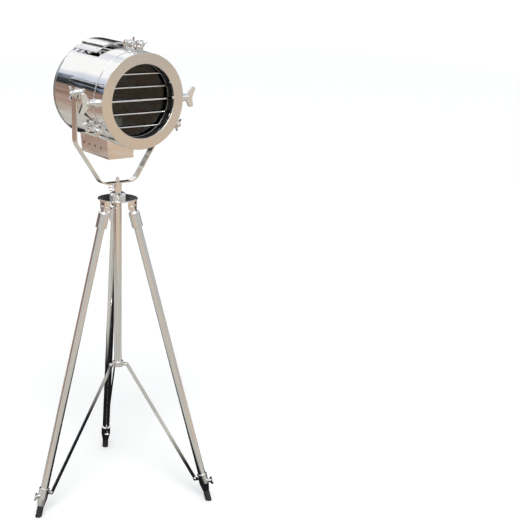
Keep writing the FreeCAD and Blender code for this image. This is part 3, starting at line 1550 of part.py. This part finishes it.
def build_lamp():
    strip_edge = bracket_drop + size.bracket_sheet
    strip_half = root(drum_inside * drum_inside - strip_edge * strip_edge)
    lamp = at(0, 0, -size.lamp_rear)
    strip = block(
        2 * strip_half,
        size.bracket_sheet,
        size.bracket_strip,
        lamp * at(0, -(bracket_drop + size.bracket_sheet / 2), -size.bracket_strip / 2),
    )
    wire_hole = cylinder(5, size.cutter_over, lamp * at(0, -(strip_edge + 2), 0) * TO_Y)
    node(cut(strip, wire_hole), "holder_bracket", DRUM)

    cup = lathe(
        "LampHolder",
        [
            (5, 0),
            (size.holder_radius - 5, 0, 2),
            (size.holder_radius, 14, 3),
            (size.holder_radius, size.holder_height, 1.5),
            (size.holder_bore, size.holder_height),
            (size.holder_bore, size.holder_height - size.holder_depth),
            (5, size.holder_height - size.holder_depth),
        ],
    )
    upright = lamp * at(0, -bracket_drop, 0) * TO_Y
    node(cup, "lamp_holder", DRUM * upright)

    cap = size.bulb_cap_radius
    top = size.bulb_height
    bulb = lathe(
        "Bulb",
        [
            (0, 0),
            (cap, 0, 2),
            (cap, 27),
            (cap + 1.5, 33, 4),
            (size.bulb_radius, top - 2 * size.bulb_radius, 24),
            (size.bulb_radius, top, size.bulb_radius - 1),
            (0, top),
        ],
    )
    node(bulb, "bulb", DRUM * upright * at(0, 0, size.holder_height - size.holder_depth))


# ---------------------------------------------------------------- the lamp as a whole

clamp_screw_station = leg_tube_end + size.clamp_straight / 2

build_hub()
for leg_number, leg_direction in enumerate(leg_azimuths, start=1):
    build_leg(leg_number, leg_direction)
build_column()
build_braces()
build_yoke()
build_drum()
build_axle()
build_door_clamps()
build_pivots()
vent_screws = build_vent()
lid_screws = build_box()
node(group([vent_screws] + lid_screws), "head_screws", DRUM)
build_lamp()
doc.recompute()

for item in doc.Objects:
    bad = [state for state in item.State if state in ("Invalid", "Error")]
    if bad:
        raise RuntimeError(f"{item.Label} ({item.Name}) did not build: {bad}")
for item in nodes:
    if item.Shape.isNull() or not item.Shape.isValid():
        raise RuntimeError(f"{item.Label} has no sound shape")
    if not item.Shape.Solids:
        raise RuntimeError(f"{item.Label} holds no solid")

# The origin goes to the floor under the middle of the plan.
whole = FreeCAD.BoundBox()
for item in nodes:
    whole.add(item.Shape.optimalBoundingBox(False))
middle = V(whole.Center.x, whole.Center.y, 0)
for item in nodes:
    item.Placement = FreeCAD.Placement(-middle, FreeCAD.Rotation()) * item.Placement
doc.recompute()
print("column axis at", round(-middle.x, 4), round(-middle.y, 4))

os.makedirs("parts", exist_ok=True)
for item in nodes:
    item.Shape.exportStep(f"parts/{item.Label}.step")
print(len(nodes), "nodes written")
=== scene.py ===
import math

import bpy
from mathutils import Matrix, Vector


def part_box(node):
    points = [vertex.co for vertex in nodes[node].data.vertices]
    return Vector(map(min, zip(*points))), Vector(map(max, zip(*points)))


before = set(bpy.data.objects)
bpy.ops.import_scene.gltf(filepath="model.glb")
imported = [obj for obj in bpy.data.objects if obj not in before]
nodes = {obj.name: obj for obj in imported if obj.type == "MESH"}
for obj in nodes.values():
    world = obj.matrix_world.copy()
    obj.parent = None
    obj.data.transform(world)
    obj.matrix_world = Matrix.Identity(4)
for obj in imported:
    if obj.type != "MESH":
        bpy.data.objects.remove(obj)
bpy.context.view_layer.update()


# ---------------------------------------------------------------- places taken from the CAD frame

def centre(node):
    low, high = (Vector(corner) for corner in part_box(node))
    return (low + high) / 2


column_axis = centre("column_tube")
drum_axis = centre("front_ring")
drum_rear = centre("rear_cap")
drum_rise = (drum_rear.z - drum_axis.z) / (drum_rear.y - drum_axis.y)

DRUM_BORE = 0.1484          # a little under the shell's inner radius
BULB_CAP_HEIGHT = 0.029     # the bulb's metal cap above the bulb's lowest point
FACING_IN = -0.02           # below this, place times normal says that a face looks at the drum's axis


# ---------------------------------------------------------------- shader helpers

class Paint:
    """Builds one node-based material step by step."""

    def __init__(self, name):
        self.material = bpy.data.materials.new(name)
        self.material.use_nodes = True
        self.tree = self.material.node_tree
        self.tree.nodes.clear()
        self.output = self.tree.nodes.new("ShaderNodeOutputMaterial")

    def add(self, kind, settings=None, **inputs):
        node = self.tree.nodes.new(kind)
        for name, value in (settings or {}).items():
            setattr(node, name, value)
        for name, value in inputs.items():
            place = int(name[1:]) if name[0] == "_" else name.replace("_", " ")
            self.feed(node.inputs[place], value)
        return node

    def feed(self, socket, value):
        if isinstance(value, bpy.types.NodeSocket):
            self.tree.links.new(value, socket)
        elif isinstance(value, bpy.types.Node):
            self.tree.links.new(value.outputs[0], socket)
        else:
            socket.default_value = value

    def object_place(self):
        return self.add("ShaderNodeTexCoord").outputs["Object"]

    def object_normal(self):
        return self.add("ShaderNodeTexCoord").outputs["Normal"]

    def noise(self, scale, detail=3.0, stretch=None, roughness=0.5, place=None):
        place = place or self.object_place()
        if stretch:
            place = self.add("ShaderNodeMapping", Vector=place, Scale=stretch)
        return self.add("ShaderNodeTexNoise", Vector=place, Scale=scale, Detail=detail,
                        Roughness=roughness).outputs["Fac"]

    def span(self, value, low, high, from_low=0.0, from_high=1.0):
        """Maps from_low..from_high to low..high and holds the value beyond both ends."""
        node = self.add("ShaderNodeMapRange", _0=value, _1=from_low, _2=from_high, _3=low, _4=high)
        return node.outputs[0]

    def math(self, operation, a, b=0.0):
        return self.add("ShaderNodeMath", {"operation": operation}, _0=a, _1=b).outputs[0]

    def times(self, a, b):
        return self.math("MULTIPLY", a, b)

    def length(self, a, b):
        return self.math("SQRT", self.math("ADD", self.times(a, a), self.times(b, b)))

    def ramp(self, value, stops):
        node = self.add("ShaderNodeValToRGB", Fac=value)
        elements = node.color_ramp.elements
        while len(elements) < len(stops):
            elements.new(0.5)
        for element, (place, colour) in zip(elements, stops):
            element.position = place
            element.color = (*colour, 1)
        return node.outputs["Color"]

    def mix(self, factor, a, b):
        node = self.add("ShaderNodeMix", {"data_type": "RGBA"})
        self.feed(node.inputs[0], factor)
        for socket, value in ((node.inputs[6], a), (node.inputs[7], b)):
            self.feed(socket, (*value, 1) if isinstance(value, tuple) else value)
        return node.outputs[2]

    def bump(self, height, strength, distance, normal=None):
        inputs = {"Height": height, "Strength": strength, "Distance": distance}
        if normal:
            inputs["Normal"] = normal
        return self.add("ShaderNodeBump", **inputs).outputs[0]

    def rounded(self, radius):
        """A normal that rounds the edges."""
        return self.add("ShaderNodeBevel", {"samples": 4}, Radius=radius).outputs[0]

    def either(self, factor, first, second):
        """The first shader where the factor is 0 and the second where it is 1."""
        node = self.add("ShaderNodeMixShader", Fac=factor)
        self.feed(node.inputs[1], first)
        self.feed(node.inputs[2], second)
        return node

    def surface(self, shader):
        self.feed(self.output.inputs["Surface"], shader)
        return self.material


STAIN = (0.55, 0.5, 0.45)   # colour of the dull spots in the plating


def chrome(name, tint=(0.94, 0.935, 0.925), rough=0.06, scratch=(1, 1, 1), wave=0.25, edge=0.0006):
    """Polished plating: soft waves, fine polishing marks, a little haze and rounded edges."""
    paint = Paint(name)
    haze = paint.noise(9.0, 4.0)
    marks = paint.noise(260.0, 2.0, stretch=scratch)
    roughness = paint.span(haze, rough * 0.6, rough * 1.5, 0.3, 0.7)
    stains = paint.span(paint.noise(38.0, 6.0, roughness=0.7), 0.0, 1.0, 0.62, 0.8)
    colour = paint.mix(paint.times(stains, 0.22), tint, STAIN)
    waves = paint.bump(paint.noise(5.0, 1.0), wave, 0.004, paint.rounded(edge))
    fine = paint.bump(marks, 0.06, 0.0002, waves)
    shader = paint.add("ShaderNodeBsdfPrincipled", Base_Color=colour, Metallic=1.0,
                       Roughness=roughness, Normal=fine)
    return paint, shader


def plain_chrome(name, **settings):
    paint, shader = chrome(name, **settings)
    return paint.surface(shader)


def towards_axis(paint, place, normal):
    """How far a face looks away from the drum's tipped axis, and its place across and above it."""
    x = paint.math("SUBTRACT", place.outputs[0], drum_axis.x)
    behind = paint.math("SUBTRACT", place.outputs[1], drum_axis.y)
    axis_height = paint.math("ADD", paint.times(behind, drum_rise), drum_axis.z)
    above = paint.math("SUBTRACT", place.outputs[2], axis_height)
    across = paint.times(x, normal.outputs[0])
    upward = paint.times(above, normal.outputs[2])
    return paint.math("ADD", across, upward), x, above


def drum_chrome(name, **settings):
    """Chrome outside, and near-black with green-brown and reddish patches on what faces the drum's
    axis.
    """
    paint, outside = chrome(name, **settings)
    grain = paint.noise(420.0, 3.0)
    # Near-black with green-brown and reddish patches on the faces inside the drum and on those facing
    # forward within its bore.
    inner_black = paint.ramp(paint.noise(16.0, 5.0), [
        (0.4, (0.003, 0.003, 0.004)), (0.52, (0.02, 0.022, 0.017)), (0.7, (0.1, 0.11, 0.08))])
    reddish_patches = paint.span(paint.noise(9.0, 2.0), 0.0, 0.8, 0.52, 0.64)
    inner_black = paint.mix(reddish_patches, inner_black, (0.05, 0.01, 0.007))
    inside = paint.add("ShaderNodeBsdfPrincipled", Base_Color=inner_black, Roughness=0.62,
                       Normal=paint.bump(grain, 0.3, 0.0004))
    place = paint.add("ShaderNodeSeparateXYZ", _0=paint.object_place())
    normal = paint.add("ShaderNodeSeparateXYZ", _0=paint.object_normal())
    outward, x, above = towards_axis(paint, place, normal)
    facing_in = paint.math("LESS_THAN", outward, FACING_IN)
    forward = paint.math("LESS_THAN", normal.outputs[1], -0.2)
    within = paint.math("LESS_THAN", paint.length(x, above), DRUM_BORE)
    dark_inside_mask = paint.math("MAXIMUM", facing_in, paint.times(forward, within))
    return paint.surface(paint.either(dark_inside_mask, outside, inside))


def rubber(name):
    paint = Paint(name)
    grain = paint.noise(900.0, 2.0)
    dust = paint.span(paint.noise(60.0, 5.0), 0.0, 0.5, 0.5, 0.85)
    colour = paint.mix(dust, (0.022, 0.022, 0.024), (0.09, 0.085, 0.08))
    return paint.surface(paint.add(
        "ShaderNodeBsdfPrincipled", Base_Color=colour, Roughness=paint.span(dust, 0.55, 0.85),
        Normal=paint.bump(grain, 0.35, 0.0003, paint.rounded(0.0006))))


def black_plastic(name):
    paint = Paint(name)
    grain = paint.noise(1400.0, 1.0)
    colour = paint.mix(paint.noise(30.0, 3.0), (0.018, 0.018, 0.019), (0.04, 0.04, 0.041))
    return paint.surface(paint.add(
        "ShaderNodeBsdfPrincipled", Base_Color=colour, Roughness=paint.span(grain, 0.32, 0.5),
        Normal=paint.bump(grain, 0.2, 0.0002, paint.rounded(0.0005))))


def porcelain(name):
    paint = Paint(name)
    colour = paint.mix(paint.noise(25.0, 4.0), (0.85, 0.83, 0.79), (0.72, 0.7, 0.66))
    return paint.surface(paint.add(
        "ShaderNodeBsdfPrincipled", Base_Color=colour,
        Roughness=paint.span(paint.noise(40.0), 0.12, 0.3),
        Normal=paint.bump(paint.noise(60.0), 0.1, 0.0004)))


def brushed_steel(name):
    paint = Paint(name)
    lines = paint.noise(500.0, 2.0, stretch=(0.02, 1, 1))
    colour = paint.mix(lines, (0.42, 0.42, 0.43), (0.62, 0.61, 0.6))
    return paint.surface(paint.add(
        "ShaderNodeBsdfPrincipled", Base_Color=colour, Metallic=1.0,
        Roughness=paint.span(lines, 0.22, 0.4), Normal=paint.bump(lines, 0.15, 0.0002)))


def retainer_steel(name):
    """Dull dark flats, and a bore coloured near-white as a painted highlight where it catches light.
    """
    paint = Paint(name)
    turned = paint.noise(420.0, 2.0)
    place = paint.add("ShaderNodeSeparateXYZ", _0=paint.object_place())
    normal = paint.add("ShaderNodeSeparateXYZ", _0=paint.object_normal())
    outward, x, above = towards_axis(paint, place, normal)
    grooves = paint.bump(turned, 0.1, 0.0002)
    dark = paint.mix(turned, (0.055, 0.05, 0.048), (0.11, 0.1, 0.095))
    # Painted highlight: the bore's near-white colour stands in for the light its edge catches.
    painted_highlight_colour = paint.mix(turned, (0.9, 0.9, 0.9), (0.97, 0.97, 0.96))
    flat = paint.add("ShaderNodeBsdfPrincipled", Base_Color=dark, Metallic=0.6,
                     Roughness=paint.span(turned, 0.35, 0.55), Normal=grooves)
    lit_bore = paint.add("ShaderNodeBsdfPrincipled", Base_Color=painted_highlight_colour, Metallic=1.0,
                     Roughness=paint.span(turned, 0.25, 0.4), Normal=grooves)
    return paint.surface(paint.either(paint.math("LESS_THAN", outward, FACING_IN), flat, lit_bore))


def lens(name):
    """Clear plate glass with wiping marks and a faint waviness."""
    paint = Paint(name)
    smudge = paint.span(paint.noise(22.0, 5.0, stretch=(1, 1, 2.5)), 0.0, 0.05, 0.55, 0.8)
    waves = paint.bump(paint.noise(7.0, 1.0), 0.12, 0.004)
    return paint.surface(paint.add(
        "ShaderNodeBsdfPrincipled", Base_Color=(0.6, 0.64, 0.64, 1), Roughness=smudge, IOR=1.4,
        Transmission_Weight=1.0, Normal=waves))


def bulb_glass(name):
    """Clear bulb on a brass cap."""
    paint = Paint(name)
    glass = paint.add("ShaderNodeBsdfPrincipled", Base_Color=(0.82, 0.84, 0.84, 1), IOR=1.45,
                      Roughness=paint.span(paint.noise(50.0), 0.02, 0.08), Transmission_Weight=1.0)
    thread = paint.add("ShaderNodeTexWave", {"bands_direction": "Z"}, Vector=paint.object_place(),
                       Scale=70.0)
    cap = paint.add("ShaderNodeBsdfPrincipled", Base_Color=(0.72, 0.55, 0.25, 1), Metallic=1.0,
                    Roughness=paint.span(paint.noise(80.0), 0.2, 0.4),
                    Normal=paint.bump(thread.outputs[1], 0.8, 0.001))
    height = paint.add("ShaderNodeSeparateXYZ", _0=paint.object_place()).outputs[2]
    in_cap = paint.math("LESS_THAN", height, Vector(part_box("bulb")[0]).z + BULB_CAP_HEIGHT)
    return paint.surface(paint.either(in_cap, glass, cap))


# ---------------------------------------------------------------- materials on the CAD nodes

tube_chrome = plain_chrome("tube_chrome", scratch=(1, 1, 0.04), rough=0.08, wave=0.12)
cast_chrome = plain_chrome("cast_chrome", rough=0.09, wave=0.6, edge=0.001)
small_chrome = plain_chrome("small_chrome", rough=0.08, wave=0.5, edge=0.0005)
sheet_chrome = plain_chrome("sheet_chrome", rough=0.05, wave=0.5, scratch=(1, 0.05, 1))
ring_chrome = plain_chrome("ring_chrome", tint=(0.9, 0.88, 0.84), rough=0.2, wave=0.1)
strap_chrome = plain_chrome("strap_chrome", tint=(0.95, 0.93, 0.9), rough=0.13, wave=0.25,
                            scratch=(1, 1, 0.05), edge=0.0012)
drum_outside = drum_chrome("drum_chrome", rough=0.045, wave=0.45, scratch=(1, 0.04, 1), edge=0.0008)
# Painted shade: the rear rim's chrome is tinted darker than the rest, so that it shows as a dark line.
shaded_rim_chrome = drum_chrome("shaded_rim_chrome", tint=(0.5, 0.5, 0.53), rough=0.12, wave=0.3,
                         scratch=(1, 0.04, 1), edge=0.0008)

FINISHES = {
    "drum_shell": drum_outside,
    "door_drum": drum_outside,
    "rear_cap": shaded_rim_chrome,
    "front_ring": ring_chrome,
    "lens_glass": lens("lens_glass"),
    "lens_retainers": retainer_steel("retainer_steel"),
    "holder_bracket": brushed_steel("bracket_steel"),
    "lamp_holder": porcelain("porcelain"),
    "bulb": bulb_glass("bulb_glass"),
    "cable_gland": black_plastic("gland_plastic"),
    "yoke_strap": strap_chrome,
    "fishtail_handles": cast_chrome,
    "box_shell": sheet_chrome,
    "box_lid": sheet_chrome,
    "vent_cap": sheet_chrome,
    "hub_plate": sheet_chrome,
    "hub_collar": cast_chrome,
    "hub_clevises": cast_chrome,
    "column_tube": tube_chrome,
    "grille_rods": tube_chrome,
    "centre_axle": tube_chrome,
}
foot_rubber = rubber("foot_rubber")
for name, item in nodes.items():
    finish = FINISHES.get(name, small_chrome)
    if name.startswith("leg_") or name.startswith("brace_"):
        finish = tube_chrome
    if name.endswith("_socket") or name.endswith("_clamp"):
        finish = cast_chrome
    if name.endswith("_foot"):
        finish = foot_rubber
    item.data.materials.clear()
    item.data.materials.append(finish)


# ---------------------------------------------------------------- studio

FLOOR_HALF = 400.0          # metres
FLOOR_LIFT = 0.17           # glow of the floor towards the camera alone
CLOTH_HALF = 14.0           # the ground that only mirrors see, just above the floor
CLOTH_HEIGHT = 0.004
HEDGE_DISTANCE = 9.0
WALL_DISTANCE = 9.5
SCREEN_HEIGHT = 5.2
HEDGE_START = 8             # compass angles in degrees, from +X towards +Y
HEDGE_END = 172
SKY_STRENGTH = 0.67
SUN_STRENGTH = 1.3
SUN_SPREAD = 28             # degrees, for soft shadows


def stage_mesh(name, corners, faces):
    mesh = bpy.data.meshes.new(name)
    mesh.from_pydata(corners, [], faces)
    item = bpy.data.objects.new(name, mesh)
    bpy.context.collection.objects.link(item)
    return item


def plate(name, half, height):
    corners = [(x * half, y * half, height) for x, y in ((-1, -1), (1, -1), (1, 1), (-1, 1))]
    return stage_mesh(name, corners, [[0, 1, 2, 3]])


def only_in_reflections(item):
    item.visible_camera = False
    item.visible_diffuse = False
    item.visible_shadow = False
    item.visible_volume_scatter = False


def pale_floor(name):
    paint = Paint(name)
    tone = paint.mix(paint.noise(1.5, 4.0), (0.93, 0.93, 0.925), (0.945, 0.945, 0.94))
    matt = paint.add("ShaderNodeBsdfPrincipled", Base_Color=tone, Roughness=0.7)
    seen = paint.add("ShaderNodeLightPath").outputs["Is Camera Ray"]
    lift = paint.add("ShaderNodeEmission", Color=(1, 1, 1, 1), Strength=paint.times(seen, FLOOR_LIFT))
    return paint.surface(paint.add("ShaderNodeAddShader", _0=matt, _1=lift))


floor = plate("floor", FLOOR_HALF, 0)
floor.data.materials.append(pale_floor("floor_paint"))


def around(name, radius, start, end, steps=64):
    """An upright wall on an arc round the lamp, from one compass angle to another."""
    corners = []
    faces = []
    for i in range(steps + 1):
        angle = math.radians(start + (end - start) * i / steps)
        x = column_axis.x + radius * math.cos(angle)
        y = column_axis.y + radius * math.sin(angle)
        corners += [(x, y, 0.0), (x, y, SCREEN_HEIGHT)]
        if i:
            faces.append([2 * i - 2, 2 * i, 2 * i + 1, 2 * i - 1])
    item = stage_mesh(name, corners, faces)
    only_in_reflections(item)
    return item


def place_round_column(paint):
    """A stage point: its place, x, y and distance from the column, height and compass angle."""
    place = paint.add("ShaderNodeNewGeometry").outputs["Position"]
    split = paint.add("ShaderNodeSeparateXYZ", _0=place)
    x = paint.math("SUBTRACT", split.outputs[0], column_axis.x)
    y = paint.math("SUBTRACT", split.outputs[1], column_axis.y)
    return place, x, y, split.outputs[2], paint.length(x, y), paint.math("ARCTAN2", y, x)


def bell(paint, value, middle, inside, outside):
    """1 near the middle angle and 0 far from it; the three angles are in degrees."""
    distance = paint.math("ABSOLUTE", paint.math("SUBTRACT", value, math.radians(middle)))
    return paint.span(distance, 1.0, 0.0, math.radians(inside), math.radians(outside))


def trees(paint):
    """A dark hedge with a ragged top; behind the lamp's left it has blue gaps and a brick foot."""
    place, x, y, z, away, bearing = place_round_column(paint)
    leaves = paint.noise(2.2, 8.0, roughness=0.72, place=place)
    gaps = paint.noise(1.1, 4.0, stretch=(1.0, 1.0, 0.8), place=place)
    dark = paint.ramp(leaves, [
        (0.35, (0.008, 0.008, 0.01)), (0.52, (0.03, 0.031, 0.032)),
        (0.66, (0.12, 0.13, 0.13)), (0.8, (0.26, 0.29, 0.3))])
    bricks = paint.ramp(paint.noise(3.0, 4.0, stretch=(0.4, 0.4, 2.5), place=place), [
        (0.35, (0.2, 0.12, 0.095)), (0.6, (0.36, 0.26, 0.21))])
    open_side = paint.span(bearing, 0.0, 1.0, math.radians(74), math.radians(92))
    low = paint.times(paint.span(z, 1.0, 0.0, 1.9, 2.5), open_side)
    blue = paint.times(paint.span(gaps, 0.0, 0.85, 0.5, 0.62), open_side)
    colour = paint.mix(low, paint.mix(blue, dark, (0.26, 0.33, 0.46)), bricks)
    ragged = paint.math("ADD", z, paint.span(leaves, -1.2, 1.2, 0.3, 0.7))
    lowered = paint.span(bearing, 0.0, 0.55, math.radians(105), math.radians(122))
    return colour, paint.span(paint.math("ADD", ragged, lowered), 1.0, 0.0, 4.1, 4.7)


def houses(paint):
    """A pale, blotchy wall all round the other sides."""
    place, x, y, z, away, bearing = place_round_column(paint)
    blotch = paint.noise(0.9, 6.0, roughness=0.6, place=place)
    wall = paint.ramp(blotch, [
        (0.32, (0.2, 0.22, 0.26)), (0.45, (0.45, 0.45, 0.44)), (0.62, (0.66, 0.63, 0.58))])
    ragged = paint.math("ADD", z, paint.span(blotch, -0.6, 0.6, 0.3, 0.7))
    return wall, paint.span(ragged, 1.0, 0.0, 3.6, 4.6)


def ground(paint):
    """Ground as polished metal shows it: the lamp's painted shadow, paving, then brick, with painted
    tree shade on one side.
    """
    place, x, y, z, away, bearing = place_round_column(paint)
    patches = paint.noise(1.1, 6.0, roughness=0.65, place=place)
    rows = paint.noise(2.6, 3.0, stretch=(0.25, 2.2, 1), place=place)
    rear = paint.ramp(patches, [
        (0.34, (0.16, 0.09, 0.07)), (0.46, (0.38, 0.25, 0.2)),
        (0.56, (0.47, 0.38, 0.32)), (0.72, (0.56, 0.5, 0.43))])
    rear = paint.mix(paint.span(rows, 0.0, 0.6, 0.48, 0.68), rear, (0.3, 0.17, 0.13))
    front = paint.ramp(patches, [
        (0.3, (0.55, 0.4, 0.29)), (0.5, (0.64, 0.47, 0.345)), (0.7, (0.67, 0.51, 0.37))])
    streaks = paint.noise(4.0, 5.0, stretch=(1, 0.35, 1), place=place)
    front = paint.mix(paint.span(streaks, 0.0, 0.9, 0.5, 0.6), front, (0.66, 0.66, 0.58))
    brick = paint.mix(paint.span(y, 0.0, 1.0, -0.5, 0.8), front, rear)
    paving = paint.ramp(patches, [(0.3, (0.36, 0.36, 0.36)), (0.6, (0.62, 0.6, 0.54))])
    colour = paint.mix(paint.span(away, 0.0, 1.0, 2.4, 3.6), paving, brick)
    # Painted shade: a near-black sector of ground in the trees' shade, which the tubes' edges reflect.
    tree_shade_side = paint.times(bell(paint, bearing, 50, 26, 32), paint.span(away, 0.0, 1.0, 1.6, 2.0))
    colour = paint.mix(tree_shade_side, colour, (0.014, 0.014, 0.016))
    wide = paint.math("DIVIDE", paint.math("SUBTRACT", x, 0.4), 0.85)
    long = paint.math("DIVIDE", paint.math("SUBTRACT", y, 0.55), 1.25)
    shade = paint.span(paint.length(wide, long), 1.0, 0.0, 0.88, 1.12)
    return paint.mix(shade, colour, (0.012, 0.012, 0.014)), 1.0


def glow(name, colour_of):
    """Shines with the picture that colour_of paints, and is clear where that has no cover."""
    paint = Paint(name)
    colour, cover = colour_of(paint)
    shine = paint.add("ShaderNodeEmission", Color=colour, Strength=1.0)
    return paint.surface(paint.either(cover, paint.add("ShaderNodeBsdfTransparent"), shine))


cloth = plate("ground_cloth", CLOTH_HALF, CLOTH_HEIGHT)
only_in_reflections(cloth)
cloth.data.materials.append(glow("ground_glow", ground))
screen = around("tree_screen", HEDGE_DISTANCE, HEDGE_START, HEDGE_END)
screen.data.materials.append(glow("tree_glow", trees))
walls = around("wall_screen", WALL_DISTANCE, HEDGE_END, HEDGE_START + 360)
walls.data.materials.append(glow("wall_glow", houses))


class Sky(Paint):
    """The same helpers on the world's node tree."""

    def __init__(self, name):
        self.material = bpy.data.worlds.new(name)
        self.material.use_nodes = True
        self.tree = self.material.node_tree
        self.tree.nodes.clear()
        self.output = self.tree.nodes.new("ShaderNodeOutputWorld")


# An even pale sky lights the lamp. Camera rays see white, and mirrors see white with blue-grey clouds.
sky = Sky("studio")
rays = sky.add("ShaderNodeLightPath").outputs
seen = sky.math("MAXIMUM", rays["Is Camera Ray"], rays["Is Glossy Ray"])
seen = sky.math("MAXIMUM", seen, rays["Is Transmission Ray"])
direction = sky.add("ShaderNodeTexCoord").outputs["Generated"]
clouds = sky.ramp(sky.noise(2.2, 4.0, place=direction), [(0.4, (0.5, 0.56, 0.7)), (0.56, (1, 1, 1))])
picture = sky.mix(rays["Is Glossy Ray"], (1, 1, 1), clouds)
light = sky.add("ShaderNodeBackground", Color=(0.96, 0.98, 1.0, 1), Strength=SKY_STRENGTH)
white = sky.add("ShaderNodeBackground", Color=picture, Strength=1.0)
bpy.context.scene.world = sky.surface(sky.either(seen, light, white))

sun_data = bpy.data.lights.new("soft_sun", "SUN")
sun_data.energy = SUN_STRENGTH
sun_data.angle = math.radians(SUN_SPREAD)
sun = bpy.data.objects.new("soft_sun", sun_data)
sun.rotation_euler = (math.radians(30), math.radians(-22), 0)
bpy.context.collection.objects.link(sun)


# ---------------------------------------------------------------- camera, fitted to the photograph

LENS = 77.219               # millimetres, on a sensor 36 mm wide
CAMERA_LEFT = 1.96001       # metres from the column's axis
CAMERA_FORWARD = 2.98383
CAMERA_HEIGHT = 1.7994
HEADING = 40.835            # degrees
DROP = 15.284
ROLL = 1.937

camera_data = bpy.data.cameras.new("camera")
camera_data.lens = LENS
camera_data.sensor_width = 36.0
camera_data.clip_end = 2000.0
camera = bpy.data.objects.new("camera", camera_data)
camera.matrix_world = (
    Matrix.Translation((column_axis.x - CAMERA_LEFT, column_axis.y - CAMERA_FORWARD, CAMERA_HEIGHT))
    @ Matrix.Rotation(-math.radians(HEADING), 4, "Z")
    @ Matrix.Rotation(math.pi / 2 - math.radians(DROP), 4, "X")
    @ Matrix.Rotation(math.radians(ROLL), 4, "Z")
)
bpy.context.collection.objects.link(camera)
bpy.context.scene.camera = camera
bpy.context.scene.view_settings.view_transform = "Standard"
